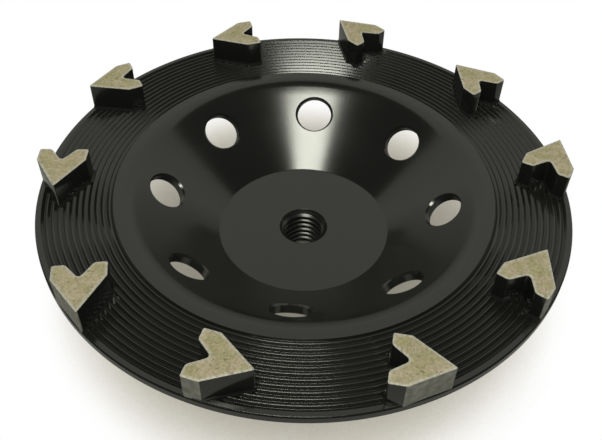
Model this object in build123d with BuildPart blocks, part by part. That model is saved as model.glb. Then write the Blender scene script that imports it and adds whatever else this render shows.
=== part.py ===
"""Diamond cup wheel with arrow segments, for an angle grinder.

A steel body carries ten sintered arrow segments on a flat rim. The body is one turned piece: a
grooved rim, a conical wall with eight vent holes, and a hub with the spindle bore.

The frame stands on the hub's back face, which seats against the spindle's shoulder: the origin is
that face's centre, +Z runs along the axis towards the cutting face, and lengths are millimetres.
"""

import os
from math import atan2, cos, degrees, radians, sin, tan

from build123d import *

# Rim
wheel_diameter = 180.0
rim_thickness = 3.0
rim_edge_chamfer = 0.4
outer_land = 1.8

# Turned grooves on the rim's face, from a steep step at the inner land to the outer land
groove_field_diameter = 129.6
step_run = 0.3
groove_pitch = 2.0
groove_depth = 0.6

# Cup
inner_land = 5.3
cup_depth = 21.0
floor_diameter = 60.5
wall_thickness = 3.0
mouth_round = 5.0

# Vent holes through the conical wall
vent_count = 8
vent_diameter = 13.0
vent_below_mouth = 13.6
first_vent_angle = 86.2

# Hub, with a bore at the major diameter of a 5/8 inch spindle thread
hub_diameter = 42.0
hub_length = 17.0
web_thickness = 4.0
hub_root_chamfer = 2.0
hub_edge_chamfer = 1.0
bore_diameter = 15.875
bore_mouth_diameter = 17.3

# Arrow segments. Tips stand on an even pitch, and every second arrow is turned out to the rim's edge
segment_count = 10
segment_length = 18.1
segment_width = 16.4
segment_height = 9.7
shoulder_length = 5.3
notch_depth = 5.6
notch_width = 8.5
barb_outer_round = 0.6
barb_inner_round = 1.5
notch_round = 1.2
first_tip_angle = 189.8
trailing_tip_inset = 7.6
trailing_turn = 8.8
leading_tip_inset = 0.1
leading_turn = 36.9

# Heights above the hub's back face
floor_height = hub_length
rim_top = floor_height + cup_depth
rim_bottom = rim_top - rim_thickness
web_bottom = floor_height - web_thickness
groove_floor = rim_top - groove_depth

# Radii
wheel_radius = wheel_diameter / 2
groove_start = groove_field_diameter / 2
first_crest = groove_start + step_run + groove_pitch / 2
mouth_radius = groove_start - inner_land
floor_radius = floor_diameter / 2
hub_radius = hub_diameter / 2
bore_radius = bore_diameter / 2
bore_chamfer = (bore_mouth_diameter - bore_diameter) / 2

# The conical wall, as an angle from the floor and a radius at each height
wall_angle = atan2(cup_depth, mouth_radius - floor_radius)


def wall_radius(height):
    """Radius of the wall's inner face at a height above the hub's back face."""
    return floor_radius + (height - floor_height) / tan(wall_angle)


def wall_back_radius(height):
    """Radius of the wall's outer face, one wall thickness behind the inner one."""
    return wall_radius(height) + wall_thickness / sin(wall_angle)


def nearest_corner(sketch, x, y):
    """The corner of a sketch that lies nearest a point of its plane."""
    return sketch.vertices().sort_by_distance((x, y, 0))[0]


def rim_face_points():
    """The rim face's section from its edge inwards: a crest at each pitch, with a groove inside it."""
    ridge_room = wheel_radius - outer_land - first_crest
    ridge_count = int(ridge_room / groove_pitch) + 1
    points = [(wheel_radius, rim_top)]
    for index in reversed(range(ridge_count)):
        crest = first_crest + index * groove_pitch
        points.append((crest, rim_top))
        points.append((crest - groove_pitch / 2, groove_floor))
    points.append((groove_start, rim_top))
    return points


def build_wheel_body():
    """The steel body: its section revolved, then the vents drilled through the wall."""
    web_edge = wall_back_radius(web_bottom)
    rim_edge = wall_back_radius(rim_bottom)
    between_vents = first_vent_angle + 180 / vent_count
    with BuildPart() as body:
        with BuildSketch(Plane.XZ.rotated((0, 0, between_vents))) as section:
            with BuildLine():
                Polyline(
                    (bore_radius, 0),
                    (hub_radius, 0),
                    (hub_radius, web_bottom),
                    (web_edge, web_bottom),
                    (rim_edge, rim_bottom),
                    (wheel_radius, rim_bottom),
                    *rim_face_points(),
                    (mouth_radius, rim_top),
                    (floor_radius, floor_height),
                    (bore_radius, floor_height),
                    close=True,
                )
            make_face()
            fillet(nearest_corner(section, mouth_radius, rim_top), mouth_round)
            chamfer(nearest_corner(section, hub_radius, web_bottom), hub_root_chamfer)
            chamfer(nearest_corner(section, wheel_radius, rim_top), rim_edge_chamfer)
            chamfer(nearest_corner(section, hub_radius, 0), hub_edge_chamfer)
            chamfer(nearest_corner(section, bore_radius, 0), bore_chamfer)
            chamfer(nearest_corner(section, bore_radius, floor_height), bore_chamfer)
        revolve(axis=Axis.Z)
        cut_vents()
    body.part.label = "wheel_body"
    return body.part


def cut_vents():
    """Drills the vent holes square to the conical wall."""
    radius = mouth_radius - vent_below_mouth * cos(wall_angle)
    height = rim_top - vent_below_mouth * sin(wall_angle)
    for index in range(vent_count):
        angle = radians(first_vent_angle + index * 360 / vent_count)
        outward = Vector(cos(angle), sin(angle), 0)
        up_wall = outward * cos(wall_angle) + Vector(0, 0, sin(wall_angle))
        normal = Vector(0, 0, cos(wall_angle)) - outward * sin(wall_angle)
        face_plane = Plane(outward * radius + Vector(0, 0, height), x_dir=up_wall, z_dir=normal)
        # The drill starts above the wall's face, because the wall is hollow across the hole
        with Locations(face_plane.offset(wall_thickness)):
            Hole(radius=vent_diameter / 2, depth=4 * wall_thickness)


def build_segment(name, tip_radius, tip_angle, turn):
    """One arrow, with its tip at a radius and angle on the rim and its nose turned outwards."""
    angle = radians(tip_angle)
    heading = radians(tip_angle + 90 - turn)
    tip_plane = Plane(
        origin=(tip_radius * cos(angle), tip_radius * sin(angle), rim_top),
        x_dir=(cos(heading), sin(heading), 0),
        z_dir=(0, 0, 1),
    )
    half_width = segment_width / 2
    half_notch = notch_width / 2
    shoulder = shoulder_length - segment_length
    notch_end = notch_depth - segment_length
    with BuildPart() as segment:
        with BuildSketch(tip_plane) as outline:
            with BuildLine():
                Polyline(
                    (0, 0),
                    (shoulder, half_width),
                    (-segment_length, half_width),
                    (-segment_length, half_notch),
                    (notch_end, 0),
                )
                mirror(about=Plane.XZ)
            make_face()
            for side in (1, -1):
                fillet(nearest_corner(outline, -segment_length, side * half_width), barb_outer_round)
                fillet(nearest_corner(outline, -segment_length, side * half_notch), barb_inner_round)
            fillet(nearest_corner(outline, notch_end, 0), notch_round)
        extrude(amount=segment_height)
    segment.part.label = name
    return segment.part


def build_segments():
    """All the arrows in turn, the even ones turned out with their tips at the rim's edge."""
    segments = []
    for index in range(segment_count):
        name = f"segment_{index + 1:02d}"
        tip_angle = first_tip_angle + index * 360 / segment_count
        if index % 2 == 0:
            tip_radius = wheel_radius - trailing_tip_inset
            turn = trailing_turn
        else:
            tip_radius = wheel_radius - leading_tip_inset
            turn = leading_turn
        segments.append(build_segment(name, tip_radius, tip_angle, turn))
    return segments


os.makedirs("parts", exist_ok=True)
for piece in [build_wheel_body(), *build_segments()]:
    export_step(piece, f"parts/{piece.label}.step")
    print(f"{piece.label}: {piece.volume / 1000:.2f} cm3")
print(f"wall angle {degrees(wall_angle):.1f} degrees, rim top at {rim_top:.1f} mm")
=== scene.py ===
# %% [markdown]
# # A diamond cup wheel with arrow segments
#
# This lesson dresses a cup wheel for an angle grinder, as it lies on a table with its cutting face up.
# The real wheel is a steel cup, turned on a lathe and painted black. Ten arrow-shaped blocks of
# sintered metal and diamond grit are brazed onto its rim. The frame below holds the wheel's solids at
# their real size. We build each visible piece again with a finer surface, in the same place.

from math import atan2, ceil, cos, degrees, pi, radians, sin, tan

import bmesh
import bpy
from mathutils import Matrix, Vector


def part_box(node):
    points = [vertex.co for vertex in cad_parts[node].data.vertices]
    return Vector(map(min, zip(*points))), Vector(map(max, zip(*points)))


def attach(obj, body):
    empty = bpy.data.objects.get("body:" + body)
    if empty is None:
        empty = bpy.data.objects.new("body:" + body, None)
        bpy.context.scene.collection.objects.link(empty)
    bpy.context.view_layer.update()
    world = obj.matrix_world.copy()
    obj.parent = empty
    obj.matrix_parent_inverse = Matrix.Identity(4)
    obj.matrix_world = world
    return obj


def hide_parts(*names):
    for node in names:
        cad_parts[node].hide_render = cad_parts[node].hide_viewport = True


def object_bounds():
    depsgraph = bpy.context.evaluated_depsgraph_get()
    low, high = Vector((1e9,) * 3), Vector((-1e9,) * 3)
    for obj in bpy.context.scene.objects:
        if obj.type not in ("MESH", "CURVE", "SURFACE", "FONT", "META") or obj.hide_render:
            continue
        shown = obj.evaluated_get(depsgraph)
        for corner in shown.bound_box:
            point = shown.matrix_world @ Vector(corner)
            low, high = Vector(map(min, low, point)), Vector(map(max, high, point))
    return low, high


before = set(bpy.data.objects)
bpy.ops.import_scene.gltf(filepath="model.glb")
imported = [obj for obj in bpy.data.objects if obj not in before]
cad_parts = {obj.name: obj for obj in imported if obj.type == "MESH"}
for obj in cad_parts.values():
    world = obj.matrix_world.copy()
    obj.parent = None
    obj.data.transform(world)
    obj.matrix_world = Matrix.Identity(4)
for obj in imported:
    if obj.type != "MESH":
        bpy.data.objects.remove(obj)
cad_low, cad_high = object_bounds()
print("frame box in mm:", [round(1000 * v, 1) for v in (*cad_low, *cad_high)])

# %% [markdown]
# ## Real sizes
#
# A turned part is described by its section: radii and heights. We write them once, in millimetres,
# and MM turns them into Blender's metres. Heights stand above the hub's back face, which lies on the
# table. The overall height and width come from the frame itself.

# %% Sizes in millimetres
MM = 0.001

body_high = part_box("wheel_body")[1]
wheel_radius = body_high.x / MM
rim_top = body_high.z / MM
rim_thickness = 3.0
rim_edge_chamfer = 0.4

groove_start = 64.8
step_run = 0.3
groove_pitch = 2.0
groove_depth = 0.75
outer_land = 1.8

mouth_radius = 59.5
floor_radius = 30.25
cup_depth = 21.0
wall_thickness = 3.0

vent_count = 8
vent_radius = 6.6
vent_countersink = 0.45
vent_below_mouth = 13.6
first_vent_angle = 86.2

hub_radius = 21.0
web_thickness = 4.0
hub_root_chamfer = 2.0
hub_edge_chamfer = 1.0
bore_radius = 7.9375
bore_mouth_radius = 8.65

floor_height = rim_top - cup_depth
rim_bottom = rim_top - rim_thickness
web_bottom = floor_height - web_thickness
wall_angle = atan2(cup_depth, mouth_radius - floor_radius)
print(f"radius {wheel_radius:.1f}, rim top {rim_top:.1f}, cup floor {floor_height:.1f} mm")
print(f"the conical wall rises at {degrees(wall_angle):.1f} degrees")

# %% [markdown]
# ## Camera
#
# The photograph looks down into the cup from the front, 46 degrees below the horizon and from a hand's
# length away, so near arrows look bigger than far ones. The camera's place was fitted to the ellipses
# of the rim and floor and to the corners of the arrows, and is given from the centre of the rim's face.

# %% Camera at the photograph's place
camera_back = 195.06
camera_above_rim = 184.19
camera_tilt = radians(46.03)
camera_pan = radians(-0.275)
camera_roll = radians(1.17)
focal_length = 46.63
sensor_width = 36.0

level = cos(camera_tilt)
look = Vector((sin(camera_pan) * level, cos(camera_pan) * level, -sin(camera_tilt)))
level_right = Vector((cos(camera_pan), -sin(camera_pan), 0))
level_up = level_right.cross(look)
right = level_right * cos(camera_roll) + level_up * sin(camera_roll)
up = level_up * cos(camera_roll) - level_right * sin(camera_roll)

bpy.ops.object.camera_add(location=(0, -camera_back * MM, (rim_top + camera_above_rim) * MM))
camera = bpy.context.object
camera.name = "photo_camera"
camera.rotation_mode = "QUATERNION"
camera.rotation_quaternion = Matrix((right, up, -look)).transposed().to_quaternion()
camera.data.sensor_width = sensor_width
camera.data.lens = focal_length
camera.data.clip_start = 0.01
bpy.context.scene.camera = camera
print("camera at", [round(v / MM, 1) for v in camera.location])

# %% [markdown]
# ## Nodes and colours
#
# Paint chips and colour pickers give colours as sRGB hex values, and shaders want linear ones, so one
# function converts them. Another adds a node with its settings and its links in one call, which keeps
# each material short enough to read as a recipe.

# %% Two helpers for materials
def linear(hex_colour):
    """An sRGB hex colour as the linear RGBA that shaders use."""
    channels = [int(hex_colour[i : i + 2], 16) / 255 for i in (1, 3, 5)]
    return [c / 12.92 if c <= 0.04045 else ((c + 0.055) / 1.055) ** 2.4 for c in channels] + [1.0]


def add(tree, kind, inputs=None, **settings):
    """Adds a node. An input is a value, or an output socket of another node to link it to."""
    node = tree.nodes.new(kind)
    for name, value in settings.items():
        setattr(node, name, value)
    for name, value in (inputs or {}).items():
        if isinstance(value, bpy.types.NodeSocket):
            tree.links.new(value, node.inputs[name])
        else:
            node.inputs[name].default_value = value
    return node


def new_material(name):
    """An empty node material, its tree and its output."""
    material = bpy.data.materials.new(name)
    material.use_nodes = True
    material.node_tree.nodes.clear()
    output = add(material.node_tree, "ShaderNodeOutputMaterial")
    return material, material.node_tree, output


# %% [markdown]
# ## Table, backdrop and light
#
# The product stands on white paper under one large softbox. The box hangs nearly overhead, a little to
# the camera's side: its reflection is the white streak down the far wall of the cup. A pale screen
# stands behind the table, dim at its foot and brighter above. It gives the flat faces of the black
# paint their grey sheen. The rest of the room is dark to reflections, so the walls that mirror it stay
# black, while a soft fill lights the matt tops of the arrows.
#
# The camera sees the paper as plain white. Its shadow is drawn from how much of the light over each
# spot the wheel shuts out, which an Ambient Occlusion node measures, and it shows through the vents as
# pale grey discs. From below the paper is see-through, so that the wheel's back can be looked at.

# %% White paper and backdrop
paper_size = 4.0
paper_gap = 0.0002
screen_distance = 0.9
screen_half_width = 2.4
screen_height = 2.3
screen_glow = 0.62
screen_foot_glow = 0.12
screen_fade_height = 0.7
daylight = "#fdfff0"
shade_reach = 50.0
darkest_shade = "#222220"
paper_shades = [(0.45, "#a29e90"), (0.67, "#dfdcd1"), (0.77, "#ffffff")]

bpy.ops.mesh.primitive_plane_add(size=paper_size, location=(0, 0, -paper_gap))
paper = bpy.context.object
paper.name = "paper_floor"

screen_centre = (0, screen_distance, screen_height / 2)
bpy.ops.mesh.primitive_plane_add(size=1, location=screen_centre, rotation=(pi / 2, 0, 0))
screen = bpy.context.object
screen.name = "paper_screen"
screen.scale = (2 * screen_half_width, screen_height, 1)

paper_material, tree, output = new_material("White paper, lit from below for the camera")
rays = add(tree, "ShaderNodeLightPath")
sheet = add(tree, "ShaderNodeBsdfPrincipled", {"Base Color": linear("#b4b4b0"), "Roughness": 0.9})
shade = add(tree, "ShaderNodeAmbientOcclusion", {"Distance": shade_reach * MM}, samples=16)
ramp = add(tree, "ShaderNodeValToRGB", {"Fac": shade.outputs["AO"]})
ramp.color_ramp.elements[0].color = linear(darkest_shade)
for position, colour in paper_shades:
    ramp.color_ramp.elements.new(position).color = linear(colour)
glow = add(tree, "ShaderNodeEmission", {"Color": ramp.outputs["Color"], "Strength": 1.0})
to_camera = rays.outputs["Is Camera Ray"]
shown = add(tree, "ShaderNodeMixShader", {0: to_camera, 1: sheet.outputs[0], 2: glow.outputs[0]})
below = add(tree, "ShaderNodeNewGeometry").outputs["Backfacing"]
clear = add(tree, "ShaderNodeBsdfTransparent")
one_way = add(tree, "ShaderNodeMixShader", {0: below, 1: shown.outputs[0], 2: clear.outputs[0]})
tree.links.new(one_way.outputs[0], output.inputs["Surface"])
paper.data.materials.append(paper_material)

screen_material, tree, output = new_material("Back screen, white to the camera and grey in the paint")
rays = add(tree, "ShaderNodeLightPath")
place = add(tree, "ShaderNodeTexCoord").outputs["Object"]
height = add(tree, "ShaderNodeSeparateXYZ", {"Vector": place}).outputs["Y"]
fade = add(
    tree,
    "ShaderNodeMapRange",
    {
        "Value": height,
        "From Min": -0.5,
        "From Max": screen_fade_height / screen_height - 0.5,
        "To Min": screen_foot_glow,
        "To Max": screen_glow,
    },
)
grey = add(tree, "ShaderNodeEmission", {"Color": linear(daylight), "Strength": fade.outputs["Result"]})
white = add(tree, "ShaderNodeEmission", {"Strength": 1.0})
to_camera = rays.outputs["Is Camera Ray"]
shown = add(tree, "ShaderNodeMixShader", {0: to_camera, 1: grey.outputs[0], 2: white.outputs[0]})
tree.links.new(shown.outputs[0], output.inputs["Surface"])
screen.data.materials.append(screen_material)

# %% Softbox and room
softbox_direction = Vector((-0.041, -0.334, 0.942)).normalized()
softbox_distance = 1.2
softbox_width = 0.4
softbox_length = 0.27
softbox_watts = 6.1
room_fill = 0.52
room_gloss = 0.05

bpy.ops.object.light_add(type="AREA", location=softbox_direction * softbox_distance)
softbox = bpy.context.object
softbox.name = "softbox"
softbox.data.shape = "RECTANGLE"
softbox.data.size = softbox_width
softbox.data.size_y = softbox_length
softbox.data.energy = softbox_watts
softbox.data.color = linear(daylight)[:3]
softbox.rotation_mode = "QUATERNION"
softbox.rotation_quaternion = softbox_direction.to_track_quat("Z", "Y")

world = bpy.data.worlds.new("Room")
bpy.context.scene.world = world
world.use_nodes = True
world.node_tree.nodes.clear()
tree = world.node_tree
rays = add(tree, "ShaderNodeLightPath")
fill = add(tree, "ShaderNodeBackground", {"Strength": room_fill})
dark = add(tree, "ShaderNodeBackground", {"Strength": room_gloss})
white = add(tree, "ShaderNodeBackground", {"Strength": 1.0})
glossy = rays.outputs["Is Glossy Ray"]
to_camera = rays.outputs["Is Camera Ray"]
lit = add(tree, "ShaderNodeMixShader", {0: glossy, 1: fill.outputs[0], 2: dark.outputs[0]})
seen = add(tree, "ShaderNodeMixShader", {0: to_camera, 1: lit.outputs[0], 2: white.outputs[0]})
output = add(tree, "ShaderNodeOutputWorld", {"Surface": seen.outputs[0]})
bpy.context.scene.view_settings.view_transform = "Standard"
print(f"softbox {softbox_width} by {softbox_length} m, {softbox_watts} W")

# %% [markdown]
# ## Black baked enamel
#
# The whole cup is sprayed with black enamel and baked. That gives a smooth, slightly warm black with a
# satin gloss: sharp enough to mirror the softbox as a streak, soft enough to blur its edges. Sprayed
# paint dries with a faint orange peel, a ripple a millimetre or two across, and its tint and gloss
# drift a little over the cup. Little paint reaches into the thread, so it is duller there.

# %% Enamel material
def baked_enamel(name, smoothest, roughest):
    """Satin black paint over turned steel, with a roughness that drifts between two values."""
    material, tree, output = new_material(name)
    place = add(tree, "ShaderNodeTexCoord").outputs["Object"]
    ripple_size = 1.6 * MM
    cloud_size = 25 * MM
    ripple = add(tree, "ShaderNodeTexNoise", {"Vector": place, "Scale": 1 / ripple_size, "Detail": 2.0})
    cloud = add(tree, "ShaderNodeTexNoise", {"Vector": place, "Scale": 1 / cloud_size, "Detail": 3.0})
    tint = add(tree, "ShaderNodeValToRGB", {"Fac": cloud.outputs["Fac"]})
    tint.color_ramp.elements[0].color = linear("#181916")
    tint.color_ramp.elements[1].color = linear("#1d1e1b")
    gloss = add(
        tree,
        "ShaderNodeMapRange",
        {
            "Value": cloud.outputs["Fac"],
            "From Min": 0.3,
            "From Max": 0.7,
            "To Min": smoothest,
            "To Max": roughest,
        },
    )
    ripple_height = 0.02 * MM
    bump = add(
        tree,
        "ShaderNodeBump",
        {"Height": ripple.outputs["Fac"], "Strength": 0.12, "Distance": ripple_height},
    )
    bsdf = add(
        tree,
        "ShaderNodeBsdfPrincipled",
        {
            "Base Color": tint.outputs["Color"],
            "IOR": 1.6,
            "Roughness": gloss.outputs["Result"],
            "Normal": bump.outputs["Normal"],
        },
    )
    tree.links.new(bsdf.outputs[0], output.inputs["Surface"])
    return material


enamel = baked_enamel("Satin black baked enamel", 0.155, 0.19)
thread_enamel = baked_enamel("Enamel mist on the cut thread", 0.27, 0.33)

# %% [markdown]
# ## Sintered segment
#
# Each arrow is cobalt, iron and bronze powder, pressed with diamond grit and sintered. Its sides are
# sprayed with the cup, but its top is ground flat at the end, so it shows the bare bond: a matt warm
# grey metal full of pale grit and small dark pores. A band along its worn top edges is coloured paler,
# a painted highlight. The flanks that reach the rim's edge are trued by the same grinder, which leaves
# them smeared and grey, and the small round at each tip is given the same grey, a painted highlight on
# that worn corner. Much of the grit is too fine to show from here, so the grain is drawn at 0.6 mm, as
# coarse as the largest grit.

# %% Segment materials
def ground_bond():
    """The bare ground top: matt metal bond with grit and pores, and a painted highlight on its worn
    edges.
    """
    material, tree, output = new_material("Ground sintered diamond bond")
    place = add(tree, "ShaderNodeTexCoord").outputs["Object"]
    patch_size = 3.5 * MM
    grain_size = 0.6 * MM
    pore_size = 1.1 * MM
    patch = add(tree, "ShaderNodeTexNoise", {"Vector": place, "Scale": 1 / patch_size, "Detail": 3.0})
    grain = add(tree, "ShaderNodeTexNoise", {"Vector": place, "Scale": 1 / grain_size, "Detail": 2.0})
    pores = add(tree, "ShaderNodeTexNoise", {"Vector": place, "Scale": 1 / pore_size, "Detail": 3.0})
    # This attribute marks the band along the worn edges, where a painted highlight goes.
    edge_highlight = add(tree, "ShaderNodeAttribute", attribute_name="edge_highlight")

    metal = add(tree, "ShaderNodeValToRGB", {"Fac": patch.outputs["Fac"]})
    metal.color_ramp.elements[0].position = 0.38
    metal.color_ramp.elements[0].color = linear("#ada57f")
    metal.color_ramp.elements[1].position = 0.62
    metal.color_ramp.elements[1].color = linear("#bfb196")
    edge = add(
        tree,
        "ShaderNodeMapRange",
        {"Value": edge_highlight.outputs["Fac"], "From Min": 0.25, "From Max": 0.9, "To Max": 0.85},
    )
    # Painted highlight: towards the worn edges the bond is mixed to a pale grey.
    edge_highlighted = add(
        tree,
        "ShaderNodeMix",
        {"Factor": edge.outputs["Result"], "A": metal.outputs["Color"], "B": linear("#c8c5b8")},
        data_type="RGBA",
    )
    level = add(
        tree,
        "ShaderNodeMapRange",
        {"Value": grain.outputs["Fac"], "From Min": 0.3, "From Max": 0.7, "To Min": 0.78, "To Max": 1.2},
    )
    grainy = add(
        tree,
        "ShaderNodeMix",
        {"Factor": 1.0, "A": edge_highlighted.outputs[2], "B": level.outputs["Result"]},
        data_type="RGBA",
        blend_type="MULTIPLY",
    )
    pore = add(
        tree,
        "ShaderNodeMapRange",
        {"Value": pores.outputs["Fac"], "From Min": 0.63, "From Max": 0.7, "To Min": 0.0, "To Max": 0.6},
    )
    speckled = add(
        tree,
        "ShaderNodeMix",
        {"Factor": pore.outputs["Result"], "A": grainy.outputs[2], "B": linear("#5f573f")},
        data_type="RGBA",
    )
    grain_height = 0.04 * MM
    bump = add(
        tree,
        "ShaderNodeBump",
        {"Height": grain.outputs["Fac"], "Strength": 0.5, "Distance": grain_height},
    )
    bsdf = add(
        tree,
        "ShaderNodeBsdfPrincipled",
        {
            "Base Color": speckled.outputs[2],
            "Metallic": 0.4,
            "Roughness": 0.55,
            "Normal": bump.outputs["Normal"],
        },
    )
    tree.links.new(bsdf.outputs[0], output.inputs["Surface"])
    return material


def trued_flank_and_tip_highlight():
    """Bare bond on the flanks trued to the wheel's diameter, grey and smeared by the grinder. On each
    tip's small round the same grey is a painted highlight.
    """
    material, tree, output = new_material("Bond trued to the rim's edge, and a painted tip highlight")
    place = add(tree, "ShaderNodeTexCoord").outputs["Object"]
    smear_size = 2.5 * MM
    smear = add(tree, "ShaderNodeTexNoise", {"Vector": place, "Scale": 1 / smear_size, "Detail": 4.0})
    metal = add(tree, "ShaderNodeValToRGB", {"Fac": smear.outputs["Fac"]})
    metal.color_ramp.elements[0].position = 0.35
    metal.color_ramp.elements[0].color = linear("#6f6f66")
    metal.color_ramp.elements[1].position = 0.7
    metal.color_ramp.elements[1].color = linear("#94948b")
    bsdf = add(
        tree,
        "ShaderNodeBsdfPrincipled",
        {"Base Color": metal.outputs["Color"], "Metallic": 0.4, "Roughness": 0.5},
    )
    tree.links.new(bsdf.outputs[0], output.inputs["Surface"])
    return material


bond = ground_bond()
trued_bond_and_tip_highlight = trued_flank_and_tip_highlight()

# %% [markdown]
# ## Drawing a section by hand
#
# A lathe part starts as its section. In Blender that is one vertex, extruded from point to point and
# closed at the end. Each corner that the real part has rounded is then bevelled, with a reach that
# gives its true radius. The same moves draw the cup's section, the arrow's outline and the thread's
# tooth, so they are one helper. Another picks what to work on by its place, as a modeller would
# click it.

# %% Drawing and picking helpers
same_place = 1e-7


def deselect_all():
    """Nothing is selected, so the next operator acts only on what is picked."""
    for thing in bpy.context.selected_objects:
        thing.select_set(False)


def pick(thing, kind, test):
    """Selects the verts, edges or faces of the mesh in edit mode that pass a test, and counts them."""
    bpy.ops.mesh.select_mode(type={"verts": "VERT", "edges": "EDGE", "faces": "FACE"}[kind])
    bpy.ops.mesh.select_all(action="DESELECT")
    mesh = bmesh.from_edit_mesh(thing.data)
    chosen = [item for item in getattr(mesh, kind) if test(item)]
    for item in chosen:
        item.select_set(True)
    mesh.select_flush_mode()
    bmesh.update_edit_mesh(thing.data)
    return len(chosen)


def draw_outline(name, corners, arc_step=radians(12)):
    """A closed wire through (point, radius) corners in millimetres. It leaves edit mode on."""
    points = [Vector(point) * MM for point, radius in corners]
    deselect_all()
    bpy.ops.mesh.primitive_plane_add(size=MM)
    thing = bpy.context.object
    thing.name = name
    bpy.ops.object.mode_set(mode="EDIT")
    bpy.ops.mesh.select_mode(type="VERT")
    bpy.ops.mesh.select_all(action="SELECT")
    bpy.ops.mesh.merge(type="CENTER")
    bpy.ops.transform.translate(value=points[0])
    for start, end in zip(points, points[1:]):
        bpy.ops.mesh.extrude_region_move(TRANSFORM_OT_translate={"value": end - start})
    ends = (points[0], points[-1])
    pick(thing, "verts", lambda v: min((v.co - end).length for end in ends) < same_place)
    bpy.ops.mesh.edge_face_add()
    for index, (point, radius) in enumerate(corners):
        if radius:
            before = points[index] - points[index - 1]
            after = points[(index + 1) % len(points)] - points[index]
            turn = before.angle(after)
            pick(thing, "verts", lambda v: (v.co - points[index]).length < same_place)
            bpy.ops.mesh.bevel(
                offset=radius * MM * tan(turn / 2),
                offset_type="OFFSET",
                segments=max(2, ceil(turn / arc_step)),
                affect="VERTICES",
            )
    return thing


def finish_piece(thing, slot, *materials):
    """Places the mesh, gives the piece its materials and fixes it to the wheel."""
    deselect_all()
    thing.select_set(True)
    bpy.context.view_layer.objects.active = thing
    bpy.ops.object.transform_apply(location=True, rotation=True, scale=True)
    thing.data.materials.clear()
    for material in materials:
        thing.data.materials.append(material)
    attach(thing, "root")


# %% [markdown]
# ## The cup's section
#
# The section runs up the bore, across the hub's floor, up the conical wall, over the round mouth, out
# across the grooved rim, round its edge and back underneath. The grooves are single turns of a lathe
# tool, two millimetres apart, with a steep step at the inner end. Paint fills them a little, so their
# crests and floors are rounded, and it turns the cup's mouth into one wide, soft round.

# %% Section of the turned body
floor_round = 0.8
mouth_paint_round = 8.0
rim_back_round = 3.0
crest_round = 0.4
groove_round = 0.15
step_round = 0.1
edge_round = 0.2

half_pitch = groove_pitch / 2
first_crest = groove_start + step_run + half_pitch
ridge_count = int((wheel_radius - outer_land - first_crest) / groove_pitch) + 1
groove_floor = rim_top - groove_depth
bore_chamfer = bore_mouth_radius - bore_radius


def wall_back_radius(height):
    """Radius of the wall's outer face at a height."""
    return floor_radius + (height - floor_height) / tan(wall_angle) + wall_thickness / sin(wall_angle)


section = [
    ((bore_mouth_radius, 0, 0), 0),
    ((bore_radius, 0, bore_chamfer), 0),
    ((bore_radius, 0, floor_height - bore_chamfer), 0),
    ((bore_mouth_radius, 0, floor_height), edge_round),
    ((floor_radius, 0, floor_height), floor_round),
    ((mouth_radius, 0, rim_top), mouth_paint_round),
    ((groove_start, 0, rim_top), 0),
]
for index in range(ridge_count):
    crest = first_crest + index * groove_pitch
    section.append(((crest - half_pitch, 0, groove_floor), groove_round if index else step_round))
    section.append(((crest, 0, rim_top), crest_round))
section += [
    ((wheel_radius - rim_edge_chamfer, 0, rim_top), edge_round),
    ((wheel_radius, 0, rim_top - rim_edge_chamfer), edge_round),
    ((wheel_radius, 0, rim_bottom + rim_edge_chamfer), edge_round),
    ((wheel_radius - rim_edge_chamfer, 0, rim_bottom), edge_round),
    ((wall_back_radius(rim_bottom), 0, rim_bottom), rim_back_round),
    ((wall_back_radius(web_bottom), 0, web_bottom), floor_round),
    ((hub_radius + hub_root_chamfer, 0, web_bottom), floor_round),
    ((hub_radius, 0, web_bottom - hub_root_chamfer), floor_round),
    ((hub_radius, 0, hub_edge_chamfer), edge_round),
    ((hub_radius - hub_edge_chamfer, 0, 0), edge_round),
]
body = draw_outline("turned_body", section)
print(f"section of {len(section)} corners, with {ridge_count} ridges across the rim")

# %% [markdown]
# ## Spinning the body
#
# A lathe turns the blank about its axis; Spin turns the section about Z. The long walls are divided
# first, so that the holes cut into short faces later and the shading stays even round them.

# %% Spin
spin_steps = 288
wall_divisions = 8
tall_edge = 15.0

pick(body, "edges", lambda e: abs(e.verts[0].co.z - e.verts[1].co.z) > tall_edge * MM)
bpy.ops.mesh.subdivide(number_cuts=wall_divisions)
bpy.ops.mesh.select_all(action="SELECT")
bpy.ops.mesh.spin(steps=spin_steps, angle=2 * pi, center=(0, 0, 0), axis=(0, 0, 1))
bpy.ops.mesh.select_all(action="SELECT")
bpy.ops.mesh.remove_doubles(threshold=same_place)
bpy.ops.mesh.normals_make_consistent(inside=False)
bpy.ops.object.mode_set(mode="OBJECT")
print(f"body spun to {len(body.data.polygons)} faces")

# %% [markdown]
# ## Vent holes
#
# Eight holes let dust and air out through the conical wall. They are drilled square to the wall, and
# their inner edge is broken with a countersink. A cylinder and a cone stand where each drill
# went, and a Boolean modifier takes them away. Weighted normals then let the broad faces set the
# shading, so the narrow rounds beside them don't bend the reflections in the flats.

# %% Drill the vents
vent_sides = 72
body_crease = radians(30)
sink_height = 2 * vent_countersink
drill_length = 6 * wall_thickness


def cut(thing, cutter, operation="DIFFERENCE"):
    """Cuts a piece with another by an applied Boolean, and removes the cutter."""
    boolean = thing.modifiers.new("cut", "BOOLEAN")
    boolean.object = cutter
    boolean.operation = operation
    boolean.solver = "EXACT"
    deselect_all()
    thing.select_set(True)
    bpy.context.view_layer.objects.active = thing
    bpy.ops.object.modifier_apply(modifier=boolean.name)
    bpy.data.objects.remove(cutter)


def join(things):
    """Joins objects into the first one."""
    deselect_all()
    for thing in things:
        thing.select_set(True)
    bpy.context.view_layer.objects.active = things[0]
    bpy.ops.object.join()
    return things[0]


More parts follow.
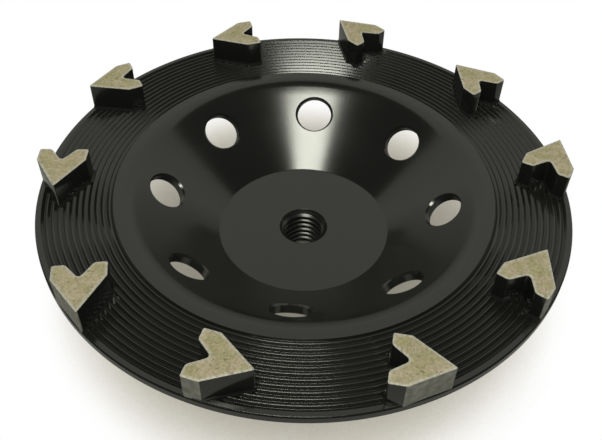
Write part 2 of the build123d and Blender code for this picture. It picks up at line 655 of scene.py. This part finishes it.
vent_ring = mouth_radius - vent_below_mouth * cos(wall_angle)
vent_height = rim_top - vent_below_mouth * sin(wall_angle)
drills = []
sinks = []
for index in range(vent_count):
    angle = radians(first_vent_angle + index * 360 / vent_count)
    outward = Vector((cos(angle), sin(angle), 0))
    normal = Vector((0, 0, cos(wall_angle))) - outward * sin(wall_angle)
    place = {
        "location": (outward * vent_ring + Vector((0, 0, vent_height))) * MM,
        "rotation": normal.to_track_quat("Z", "Y").to_euler(),
        "vertices": vent_sides,
    }
    bpy.ops.mesh.primitive_cylinder_add(radius=vent_radius * MM, depth=drill_length * MM, **place)
    drills.append(bpy.context.object)
    narrow, wide = vent_radius * MM, (vent_radius + sink_height) * MM
    bpy.ops.mesh.primitive_cone_add(radius1=narrow, radius2=wide, depth=sink_height * MM, **place)
    sinks.append(bpy.context.object)
cut(body, join(drills))
cut(body, join(sinks))
finish_piece(body, "painted_steel", enamel)
bpy.ops.object.shade_smooth_by_angle(angle=body_crease)
weigh = body.modifiers.new("weigh", "WEIGHTED_NORMAL")
weigh.weight = 100
weigh.keep_sharp = True
bpy.ops.object.modifier_apply(modifier=weigh.name)
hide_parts("wheel_body")
print(f"{vent_count} vents drilled, body has {len(body.data.polygons)} faces")

# %% [markdown]
# ## Spindle thread
#
# The bore carries the grinder's spindle thread, eleven turns to the inch. Its tooth is drawn as a
# small section on the bore's wall and wound with the Screw modifier, past both ends of the bore. A
# ring with conical ends then keeps only what a tap leaves between the two chamfers.

# %% Wind the thread
thread_pitch = 25.4 / 11
thread_minor_radius = 6.8
thread_crest_round = 0.12
thread_root = bore_radius + 0.05
half_foot = thread_pitch * 7 / 16
half_crest = thread_pitch / 8
thread_steps = 72
ring_steps = 144
spare_turns = 2
thread_crease = radians(35)
turns = ceil(floor_height / thread_pitch) + spare_turns

tooth = [
    ((thread_root, 0, -half_foot), 0),
    ((thread_minor_radius, 0, -half_crest), thread_crest_round),
    ((thread_minor_radius, 0, half_crest), thread_crest_round),
    ((thread_root, 0, half_foot), 0),
]
thread = draw_outline("spindle_thread", tooth)
bpy.ops.mesh.select_all(action="SELECT")
bpy.ops.transform.translate(value=(0, 0, -thread_pitch * MM))
bpy.ops.object.mode_set(mode="OBJECT")
wind = thread.modifiers.new("wind", "SCREW")
wind.axis = "Z"
wind.screw_offset = thread_pitch * MM
wind.iterations = turns
wind.steps = thread_steps
bpy.ops.object.modifier_apply(modifier=wind.name)
bpy.ops.object.mode_set(mode="EDIT")
bpy.ops.mesh.select_all(action="SELECT")
bpy.ops.mesh.fill_holes(sides=0)
bpy.ops.mesh.normals_make_consistent(inside=False)
bpy.ops.object.mode_set(mode="OBJECT")

ring_inner_margin = 1.0
ring_outer_margin = 0.2
inside = thread_minor_radius - ring_inner_margin
outside = bore_radius + ring_outer_margin
kept = [
    ((inside, 0, bore_mouth_radius - inside), 0),
    ((outside, 0, bore_mouth_radius - outside), 0),
    ((outside, 0, floor_height - bore_mouth_radius + outside), 0),
    ((inside, 0, floor_height - bore_mouth_radius + inside), 0),
]
ring = draw_outline("thread_trim", kept)
bpy.ops.mesh.select_all(action="SELECT")
bpy.ops.mesh.spin(steps=ring_steps, angle=2 * pi, center=(0, 0, 0), axis=(0, 0, 1))
bpy.ops.mesh.select_all(action="SELECT")
bpy.ops.mesh.remove_doubles(threshold=same_place)
bpy.ops.mesh.normals_make_consistent(inside=False)
bpy.ops.object.mode_set(mode="OBJECT")
cut(thread, ring, "INTERSECT")
finish_piece(thread, "painted_steel", thread_enamel)
bpy.ops.object.shade_smooth_by_angle(angle=thread_crease)
print(f"thread of {turns} turns trimmed to {len(thread.data.polygons)} faces")

# %% [markdown]
# ## One arrow
#
# Powder is pressed into an arrow-shaped mould, so an arrow is one outline, carried straight up. Its
# barbs end in rounded corners and its notch in a round root. Grinding and handling wear its top edge
# to a small bare bevel. A band about a millimetre wide inside it, a hair lower, carries a painted
# highlight along that worn edge.
#
# An inset would cross over itself at the small rounds. So we draw the outline once for each level,
# moved in by that level's own amount, and bridge the wires in pairs. A mesh attribute says how strong
# the painted edge highlight is at each point. All ten arrows are the same, so we model one with its tip
# at the origin, along X.

# %% Model the arrow
arrow_length = 18.1
arrow_width = 16.4
shoulder_length = 5.3
notch_depth = 5.6
notch_width = 8.5
barb_outer_round = 0.6
barb_inner_round = 1.5
notch_round = 1.2
tip_round = 0.4
shoulder_round = 1.0
worn_edge = 0.22
# The band inside the worn edge, this wide and a hair lower, takes the painted edge highlight.
highlight_band_width = 1.3
highlight_band_drop = 0.01
foot_sink = 0.4
least_round = 0.1
arrow_foot = rim_top - foot_sink
arrow_top = cad_high.z / MM


def arrow_outline(grow, height):
    """The arrow's outline as (point, radius) corners, with every side moved out by grow."""
    corners = [
        ((0, 0), tip_round),
        ((shoulder_length - arrow_length, arrow_width / 2), shoulder_round),
        ((-arrow_length, arrow_width / 2), barb_outer_round),
        ((-arrow_length, notch_width / 2), barb_inner_round),
        ((notch_depth - arrow_length, 0), -notch_round),
        ((-arrow_length, -notch_width / 2), barb_inner_round),
        ((-arrow_length, -arrow_width / 2), barb_outer_round),
        ((shoulder_length - arrow_length, -arrow_width / 2), shoulder_round),
    ]
    points = [Vector(point) for point, radius in corners]
    outline = []
    for index, point in enumerate(points):
        along = (point - points[index - 1]).normalized()
        onward = (points[(index + 1) % len(points)] - point).normalized()
        sides = Vector((along.y, -along.x)) + Vector((onward.y, -onward.x))
        moved = point + sides * grow / (1 + along.dot(onward))
        radius = corners[index][1] + grow
        outline.append(((*moved, height), max(abs(radius), least_round)))
    return outline


def stack_outlines(name, steps):
    """A closed skin bridged between copies of the outline, one for each (grow, height) step."""
    wires = []
    for grow, height in steps:
        wires.append(draw_outline("wire", arrow_outline(grow, height)))
        bpy.ops.object.mode_set(mode="OBJECT")
    thing = join(wires)
    thing.name = name
    bpy.ops.object.mode_set(mode="EDIT")
    for (_, start), (_, end) in zip(steps, steps[1:]):
        low, high = sorted((start * MM, end * MM))
        pick(thing, "verts", lambda v: low - same_place < v.co.z < high + same_place)
        bpy.ops.mesh.bridge_edge_loops()
    for _, height in (steps[0], steps[-1]):
        level = height * MM
        pick(thing, "edges", lambda e: e.is_boundary and abs(e.verts[0].co.z - level) < same_place)
        bpy.ops.mesh.edge_face_add()
    bpy.ops.mesh.select_all(action="SELECT")
    bpy.ops.mesh.normals_make_consistent(inside=False)
    bpy.ops.object.mode_set(mode="OBJECT")
    return thing


arrow_steps = [
    (0, arrow_foot),
    (0, arrow_top - worn_edge),
    (-0.3 * worn_edge, arrow_top - 0.3 * worn_edge),
    (-worn_edge, arrow_top - highlight_band_drop),
    (-highlight_band_width, arrow_top),
]
arrow = stack_outlines("arrow", arrow_steps)
upward = [face for face in arrow.data.polygons if face.normal.z > 0.99]
middle = set(max(upward, key=lambda face: face.area).vertices)
# The painted edge highlight is full on the band's outer edge and on the sides, and nil in the top's
# middle.
edge_highlight = arrow.data.attributes.new("edge_highlight", "FLOAT", "POINT")
for vertex in arrow.data.vertices:
    edge_highlight.data[vertex.index].value = 0.0 if vertex.index in middle else 1.0
print(f"arrow of {len(arrow.data.polygons)} faces")

# %% [markdown]
# ## The braze at its foot
#
# Molten braze creeps out from under each arrow and freezes as a small hollow fillet, and the paint
# rounds it further. The fillet is four wires, each the arrow's outline grown by a different amount,
# bridged from the arrow's side down into the rim.

# %% Model the braze fillet
braze_steps = [(-0.1, 0.9), (0.06, 0.45), (0.25, 0.15), (0.7, -0.35)]

braze = stack_outlines("braze", [(grow, rim_top + rise) for grow, rise in braze_steps])
print(f"braze fillet of {len(braze.data.polygons)} faces")

# %% [markdown]
# ## Setting ten arrows round the rim
#
# The tips stand on an even pitch of 36 degrees. Every second arrow is turned outwards until its tip
# reaches the rim's edge, so the ring cuts on two tracks and one pass of the grinder covers both.
#
# Each face is painted by where it looks: tops are bare, flanks at the rim's edge are trued, the small
# round at each tip takes the trued grey as a painted highlight, and the rest is enamel. A fillet that
# would hang over the edge is held back to it, as real braze is.

# %% Copy and place the arrows
segment_count = 10
first_tip_angle = 189.8
trailing_tip_inset = 7.6
trailing_turn = 8.8
leading_tip_inset = 0.1
leading_turn = 36.9
trued_radius = 89.2
braze_limit = wheel_radius - 0.3
top_facing = 0.3
arrow_crease = radians(30)
braze_crease = radians(40)


def copy_to(thing, name, tip, heading):
    """A copy with its own mesh, its tip at a place and its nose along a heading."""
    deselect_all()
    thing.select_set(True)
    bpy.context.view_layer.objects.active = thing
    bpy.ops.object.duplicate()
    copy = bpy.context.object
    copy.name = name
    copy.location = tip
    copy.rotation_euler = (0, 0, heading)
    return copy


for index in range(segment_count):
    tip_angle = radians(first_tip_angle + index * 360 / segment_count)
    outer = index % 2 == 1
    tip_radius = (wheel_radius - (leading_tip_inset if outer else trailing_tip_inset)) * MM
    tip = Vector((tip_radius * cos(tip_angle), tip_radius * sin(tip_angle), 0))
    heading = tip_angle + radians(90 - (leading_turn if outer else trailing_turn))
    piece = copy_to(arrow, f"arrow_{index + 1:02d}", tip, heading)
    finish_piece(piece, "sintered_segment", bond, enamel, trued_bond_and_tip_highlight)
    for face in piece.data.polygons:
        centre = face.center.xy
        # The trued grey also goes on the small round at every tip, a painted highlight on that worn
        # corner.
        trued_and_tip_highlight = centre.length > trued_radius * MM or (centre - tip.xy).length < tip_round * MM
        face.material_index = 0 if face.normal.z > top_facing else 2 if trued_and_tip_highlight else 1
    bpy.ops.object.shade_smooth_by_angle(angle=arrow_crease)
    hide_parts(f"segment_{index + 1:02d}")
    fillet = copy_to(braze, f"braze_{index + 1:02d}", tip, heading)
    finish_piece(fillet, "painted_steel", enamel)
    for vertex in fillet.data.vertices:
        reach = vertex.co.xy.length
        if reach > braze_limit * MM:
            vertex.co.xy *= braze_limit * MM / reach
    bpy.ops.object.shade_smooth_by_angle(angle=braze_crease)
bpy.data.objects.remove(arrow)
bpy.data.objects.remove(braze)
print(f"{segment_count} arrows set on the rim")
